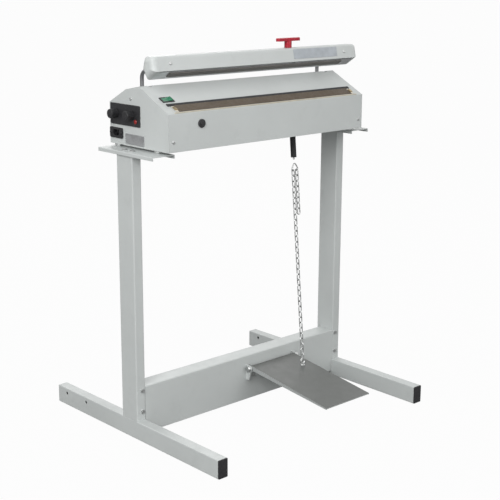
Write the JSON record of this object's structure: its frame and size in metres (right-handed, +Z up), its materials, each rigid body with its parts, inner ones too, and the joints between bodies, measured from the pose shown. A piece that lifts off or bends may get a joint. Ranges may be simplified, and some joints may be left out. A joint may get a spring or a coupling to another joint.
{
  "type": "impulse heat sealer",
  "caption": "Foot-operated impulse heat sealer on a floor stand: swinging jaw over a sealing bar, sliding cutter, chain-pulled pedal, timer knobs and switch.",
  "frame": {"origin": "on the floor under the middle of the two feet", "axes": "+X along the jaw to the operator's right, +Y away from the operator, +Z up; rest pose is the jaw open"},
  "size_m": [0.784, 0.7, 1.0336],
  "materials": {
    "grey_paint": "satin, light orange peel",
    "pedal_paint": "satin, worn by shoes",
    "black_plastic": "fine grain",
    "grey_plastic": "fine grain",
    "cream_plastic": "satin",
    "crimson_plastic": "gloss",
    "green_plastic": "gloss",
    "red_plastic": "gloss",
    "board_plastic": "satin",
    "label_plastic": "satin",
    "plate_aluminium": "satin",
    "zinc_steel": "zinc plated",
    "bright_steel": "polished",
    "dark_steel": "drawn bar, oiled",
    "resistance_wire": "satin",
    "aluminium": "extruded",
    "brass": "satin",
    "core_iron": "varnished laminations",
    "insulation": "matt",
    "brown_tape": "woven glass cloth, coated",
    "silicone_rubber": "matt",
    "dark_rubber": "matt"
  },
  "bodies": {
    "stand": {"foot_left": "grey_paint", "foot_right": "grey_paint", "foot_caps": "black_plastic", "post_left": "grey_paint", "post_right": "grey_paint", "crossbeam": "grey_paint", "frame_bolts": "zinc_steel", "top_channels": "grey_paint", "housing_spacers": "zinc_steel", "base_plate": "grey_paint", "front_cover": "grey_paint", "rear_cover": "grey_paint", "end_panel_left": "grey_paint", "end_panel_right": "grey_paint", "cover_screws": "zinc_steel", "seal_bar": "aluminium", "bar_supports": "zinc_steel", "insulation_strip": "insulation", "heating_element": "resistance_wire", "tape_cover": "brown_tape", "element_clamps": "brass", "edge_strip": "cream_plastic", "rest_strip": "dark_rubber", "shaft_brackets": "zinc_steel", "return_springs": "zinc_steel", "spring_anchors": "zinc_steel", "hinge_brackets": "grey_paint", "hinge_rod": "zinc_steel", "control_panel": "black_plastic", "pilot_lamp": "red_plastic", "timer_board": "board_plastic", "power_inlet": "black_plastic", "rating_plate": "plate_aluminium", "switch_bezel": "black_plastic", "button_bezel": "black_plastic", "transformer": "core_iron", "terminal_block": "cream_plastic", "micro_switch": "black_plastic"},
    "jaw": {"jaw_cover": "grey_paint", "jaw_ends": "grey_plastic", "jaw_base": "aluminium", "press_strip": "silicone_rubber", "jaw_screws": "zinc_steel", "jaw_label": "label_plastic", "jaw_arms": "dark_steel", "arm_hubs": "zinc_steel", "pivot_shaft": "bright_steel", "crank": "zinc_steel", "cutter_rail": "bright_steel"},
    "cutter": {"cutter_carriage": "bright_steel", "cutter_knob": "crimson_plastic"},
    "pull": {"pull_rod": "zinc_steel", "rod_sleeve": "dark_rubber", "pull_chain": "zinc_steel"},
    "pedal": {"pedal": "pedal_paint", "anchor_eye": "zinc_steel"},
    "seal_knob": {"seal_time_knob": "black_plastic"},
    "cool_knob": {"cool_time_knob": "black_plastic"},
    "rocker": {"switch_rocker": "green_plastic"},
    "button": {"button_cap": "black_plastic"}
  },
  "joints": [
    {"name": "jaw_swing", "type": "hinge", "parent": "stand", "child": "jaw", "pos_m": [0, -0.02398, 0.88966], "axis": [1, 0, 0], "range_deg": [0, 60], "stiffness_Nm_per_rad": 2.5, "springref_deg": -51.57, "deforming": ["return_springs"]},
    {"name": "cutter_slide", "type": "slide", "parent": "jaw", "child": "cutter", "axis": [1, 0, 0], "range_m": [-0.382, 0.158]},
    {"name": "pull_travel", "type": "slide", "parent": "stand", "child": "pull", "axis": [0, -0.0912, -0.9958], "range_m": [0, 0.01522]},
    {"name": "pedal_swing", "type": "hinge", "parent": "stand", "child": "pedal", "pos_m": [0.0935, -0.0351, 0.108], "axis": [1, 0, 0], "range_deg": [0, 11.8]},
    {"name": "seal_time_turn", "type": "hinge", "parent": "stand", "child": "seal_knob", "pos_m": [-0.362, 0.087, 0.854], "axis": [-1, 0, 0], "range_deg": [-150, 150]},
    {"name": "cool_time_turn", "type": "hinge", "parent": "stand", "child": "cool_knob", "pos_m": [-0.362, 0.022, 0.854], "axis": [-1, 0, 0], "range_deg": [-150, 150]},
    {"name": "power_rocker", "type": "hinge", "parent": "stand", "child": "rocker", "pos_m": [-0.31, -0.06673, 0.89537], "axis": [0, 0.891, 0.454], "range_deg": [0, 16]},
    {"name": "button_press", "type": "slide", "parent": "stand", "child": "button", "axis": [0, 1, 0], "range_m": [0, 0.003], "stiffness_N_per_m": 800, "springref_m": -0.002}
  ],
  "couplings": [
    {"joint": "pull_travel", "follows": "jaw_swing", "m_per_rad": 0.014535},
    {"joint": "pedal_swing", "follows": "jaw_swing", "ratio": 0.19667}
  ]
}
